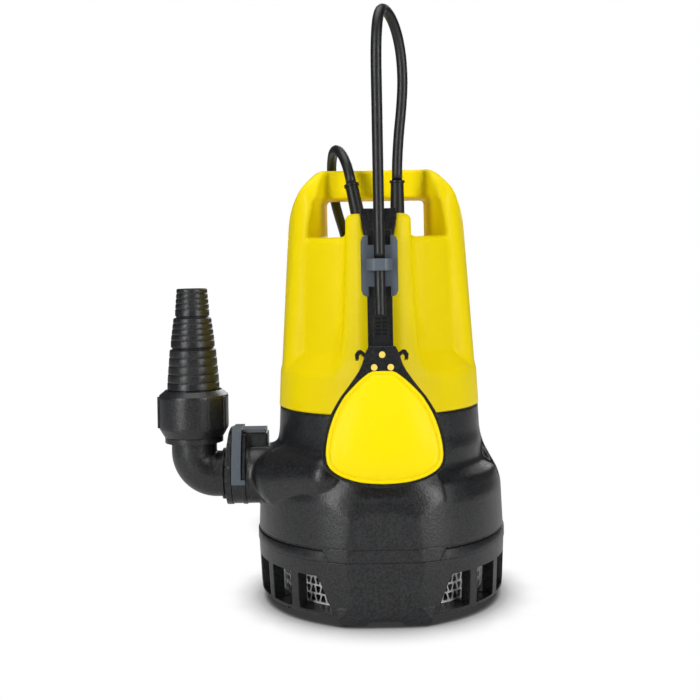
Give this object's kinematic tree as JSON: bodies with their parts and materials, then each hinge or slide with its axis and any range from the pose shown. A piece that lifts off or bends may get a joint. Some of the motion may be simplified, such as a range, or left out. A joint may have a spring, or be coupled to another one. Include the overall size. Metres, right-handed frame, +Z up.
{
  "type": "submersible sump pump",
  "caption": "Submersible dirty-water pump with carrying handle, float switch on a sliding cable clip, swivel outlet elbow with stepped hose tail, strainer base and coiled mains cord.",
  "frame": {"origin": "on the pump's vertical motor axis, at the level of the floor it stands on", "axes": "+Z up along the motor axis, -Y towards the front with the float switch, -X towards the outlet"},
  "size_m": [0.2557, 0.4639, 0.4201],
  "materials": {
    "yellow_plastic": "moulded, lightly textured",
    "black_plastic": "moulded, fine spark texture",
    "grey_plastic": "moulded, satin",
    "cream_plastic": "heat-staked heads",
    "stainless_steel": "satin",
    "plated_brass": "nickel plated",
    "lamination_steel": "stacked sheet",
    "copper_wire": "enamelled wire",
    "white_plastic": "plain",
    "cast_alloy": "die cast",
    "black_rubber": "matte",
    "cable_sheath": "smooth rubber sheath"
  },
  "bodies": {
    "pump": {"yellow_hood": "yellow_plastic", "pump_housing": "black_plastic", "suction_strainer": "black_plastic", "prefilter_mesh": "stainless_steel", "prefilter_plate": "black_plastic", "suction_plate": "black_plastic", "volute_o_ring": "black_rubber", "base_screws": "stainless_steel", "motor_canister": "stainless_steel", "stator_core": "lamination_steel", "stator_winding": "copper_wire", "run_capacitor": "white_plastic", "lower_bracket": "cast_alloy", "upper_bracket": "cast_alloy", "lower_bearing": "stainless_steel", "upper_bearing": "stainless_steel", "shaft_seal": "black_rubber", "float_rail": "black_plastic", "mains_gland": "black_rubber", "float_gland": "black_rubber", "float_cord_loop": "cable_sheath", "mains_cord": "cable_sheath", "mains_coil": "cable_sheath", "mains_cord_end": "cable_sheath", "mains_plug": "cable_sheath", "plug_pins": "plated_brass"},
    "rotor": {"motor_shaft": "stainless_steel", "rotor_core": "lamination_steel", "impeller": "black_plastic", "impeller_nut": "stainless_steel"},
    "slider": {"cable_slider": "grey_plastic", "cable_grip": "cable_sheath"},
    "float": {"float_frame": "black_plastic", "float_front_shell": "yellow_plastic", "float_rear_shell": "yellow_plastic", "float_rivets": "cream_plastic", "float_boot": "black_rubber", "float_cord_drop": "cable_sheath", "tilt_switch": "white_plastic"},
    "clip": {"release_clip": "grey_plastic"},
    "elbow": {"outlet_elbow": "black_plastic", "elbow_o_ring": "black_rubber", "hose_tail": "black_plastic", "union_gasket": "black_rubber"},
    "nut": {"union_nut": "black_plastic"}
  },
  "joints": [
    {"name": "rotor_spin", "type": "hinge", "parent": "pump", "child": "rotor", "pos_m": [0, 0, 0.1], "axis": [0, 0, 1], "continuous": true},
    {"name": "clip_slide", "type": "slide", "parent": "pump", "child": "slider", "axis": [0, 0, 1], "range_m": [-0.045, 0], "deforming": ["float_cord_loop"]},
    {"name": "float_swing", "type": "hinge", "parent": "slider", "child": "float", "pos_m": [0, -0.0855, 0.232], "axis": [-1, 0, 0], "range_deg": [0, 115], "deforming": ["float_cord_drop"]},
    {"name": "release_clip", "type": "slide", "parent": "pump", "child": "clip", "axis": [0, 0, 1], "range_m": [0, 0.012]},
    {"name": "elbow_swivel", "type": "hinge", "parent": "pump", "child": "elbow", "pos_m": [-0.095, -0.01, 0.0904], "axis": [1, 0, 0], "range_deg": [-90, 90]},
    {"name": "union_nut", "type": "hinge", "parent": "elbow", "child": "nut", "pos_m": [-0.1365, -0.01, 0.13], "axis": [0, 0, 1], "continuous": true}
  ]
}
